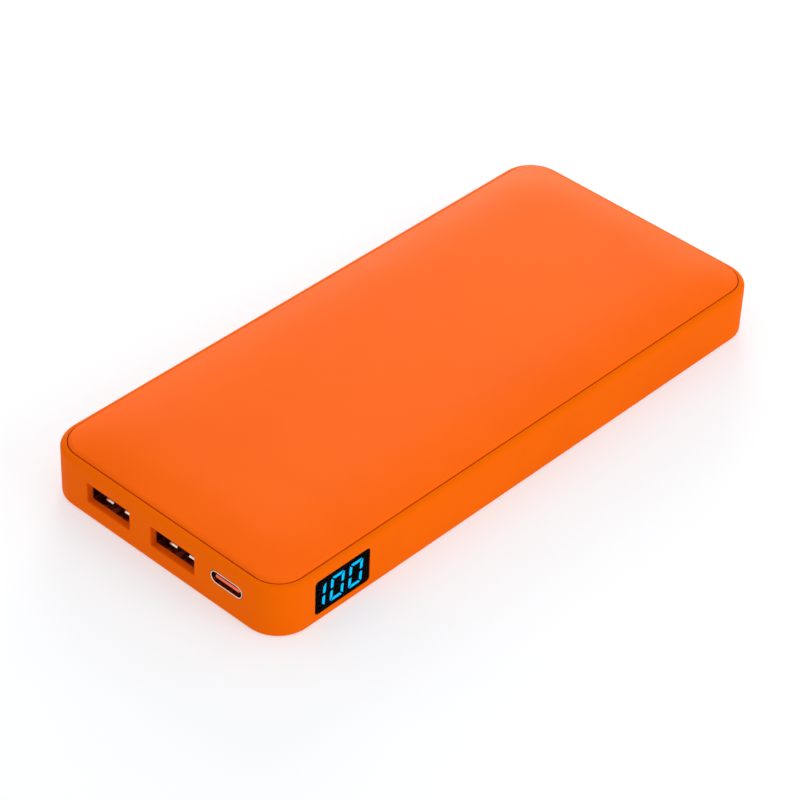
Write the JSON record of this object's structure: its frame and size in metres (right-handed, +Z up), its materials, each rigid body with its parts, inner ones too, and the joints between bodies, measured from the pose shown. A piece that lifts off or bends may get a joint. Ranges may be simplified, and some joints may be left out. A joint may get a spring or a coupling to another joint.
{
  "type": "power bank",
  "caption": "Flat pocket power bank with a pillowed clip-in cover, USB-A and USB-C ports in one end, a lit digit display in a side wall and a flush power button.",
  "frame": {"origin": "centre of the flat base that it lies on", "axes": "+Z up through the cover, Y along the length with the ports at -Y, +X out through the display side"},
  "size_m": [0.068, 0.15, 0.015],
  "materials": {
    "orange_shell": "matte",
    "orange_button": "satin",
    "smoked_lens": "gloss",
    "adhesive_tape": "matte",
    "display_housing": "matte",
    "segment_lit": "gloss",
    "segment_unlit": "gloss",
    "tinned_pins": "satin",
    "switch_black": "matte",
    "nickel_steel": "satin",
    "pink_port_plastic": "satin",
    "coral_port_plastic": "satin",
    "gold_contact": "polished",
    "circuit_board": "satin",
    "screw_steel": "satin",
    "insulating_card": "matte",
    "chip_black": "matte",
    "capacitor_ceramic": "satin",
    "ferrite": "matte",
    "copper_wire": "satin",
    "red_lead": "satin",
    "black_lead": "satin",
    "nickel_tab": "satin",
    "pouch_foil": "satin",
    "foam": "matte"
  },
  "bodies": {
    "case": {"lower_case": "orange_shell", "top_cover": "orange_shell", "display_lens": "smoked_lens", "lens_adhesive": "adhesive_tape", "cell_tape_base": "adhesive_tape", "cell_tape_middle": "adhesive_tape", "display_module": "display_housing", "display_segments_lit": "segment_lit", "display_segments_unlit": "segment_unlit", "display_pins": "tinned_pins", "switch_body": "switch_black", "usb_a_1_shell": "nickel_steel", "usb_a_2_shell": "nickel_steel", "usb_c_shell": "nickel_steel", "switch_cover": "nickel_steel", "usb_c_tongue_plate": "nickel_steel", "usb_a_1_insulator": "pink_port_plastic", "usb_a_2_insulator": "pink_port_plastic", "usb_c_tongue": "coral_port_plastic", "usb_a_1_contacts": "gold_contact", "usb_a_2_contacts": "gold_contact", "usb_c_contacts": "gold_contact", "main_board": "circuit_board", "protection_board": "circuit_board", "board_screws": "screw_steel", "board_insulator": "insulating_card", "controller_chip": "chip_black", "display_driver_chip": "chip_black", "power_transistors": "chip_black", "protection_chips": "chip_black", "resistors": "chip_black", "capacitors": "capacitor_ceramic", "inductor_core": "ferrite", "inductor_winding": "copper_wire", "battery_lead_red": "red_lead", "battery_lead_black": "black_lead", "cell_tabs": "nickel_tab", "cell_lower": "pouch_foil", "cell_upper": "pouch_foil", "foam_spacer": "foam"},
    "button": {"power_button": "orange_button"},
    "switch_plunger": {"switch_stem": "switch_black"}
  },
  "joints": [
    {"name": "button_press", "type": "slide", "parent": "case", "child": "button", "axis": [1, 0, 0], "range_m": [0, 0.0003], "stiffness_N_per_m": 5000},
    {"name": "switch_press", "type": "slide", "parent": "case", "child": "switch_plunger", "axis": [1, 0, 0], "range_m": [0, 0.0003]}
  ],
  "couplings": [
    {"joint": "switch_press", "follows": "button_press", "ratio": 1}
  ]
}
